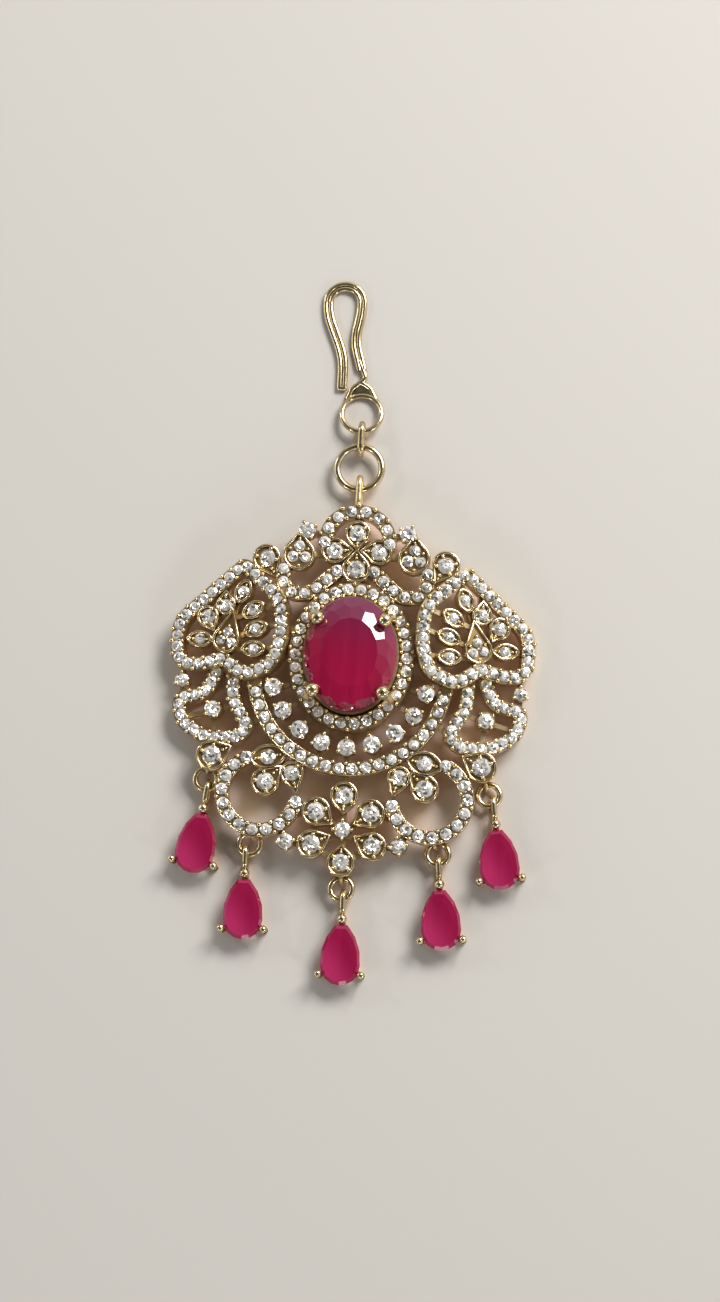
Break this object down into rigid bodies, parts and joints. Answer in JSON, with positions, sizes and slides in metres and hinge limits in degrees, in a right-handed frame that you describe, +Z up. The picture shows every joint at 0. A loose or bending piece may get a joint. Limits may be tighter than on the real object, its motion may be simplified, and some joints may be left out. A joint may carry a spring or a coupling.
{
  "type": "maang tikka",
  "caption": "Domed gold forehead jewel paved with clear stones, with an oval red centre stone, red pear drops and a hair hook on rings.",
  "frame": {"origin": "bottom centre of the box of the whole jewel, on the surface that it lies on", "axes": "+Z up out of the jewel's face, +Y from the drops towards the hair hook, +X to the right as seen from the face"},
  "size_m": [0.0392, 0.077, 0.0072],
  "materials": {
    "gold": "polished champagne gold plate",
    "red_stone": "faceted raspberry-red stone",
    "clear_stone": "faceted clear stone"
  },
  "bodies": {
    "root": {"pendant_frame": "gold", "oval_stone": "red_stone", "big_ring": "gold", "link_ring": "gold", "hook": "gold", "jump_ring_1": "gold", "jump_ring_2": "gold", "jump_ring_3": "gold", "jump_ring_4": "gold", "jump_ring_5": "gold", "drop_setting_1": "gold", "drop_setting_2": "gold", "drop_setting_3": "gold", "drop_setting_4": "gold", "drop_setting_5": "gold", "drop_stone_1": "red_stone", "drop_stone_2": "red_stone", "drop_stone_3": "red_stone", "drop_stone_4": "red_stone", "drop_stone_5": "red_stone"}
  },
  "joints": []
}
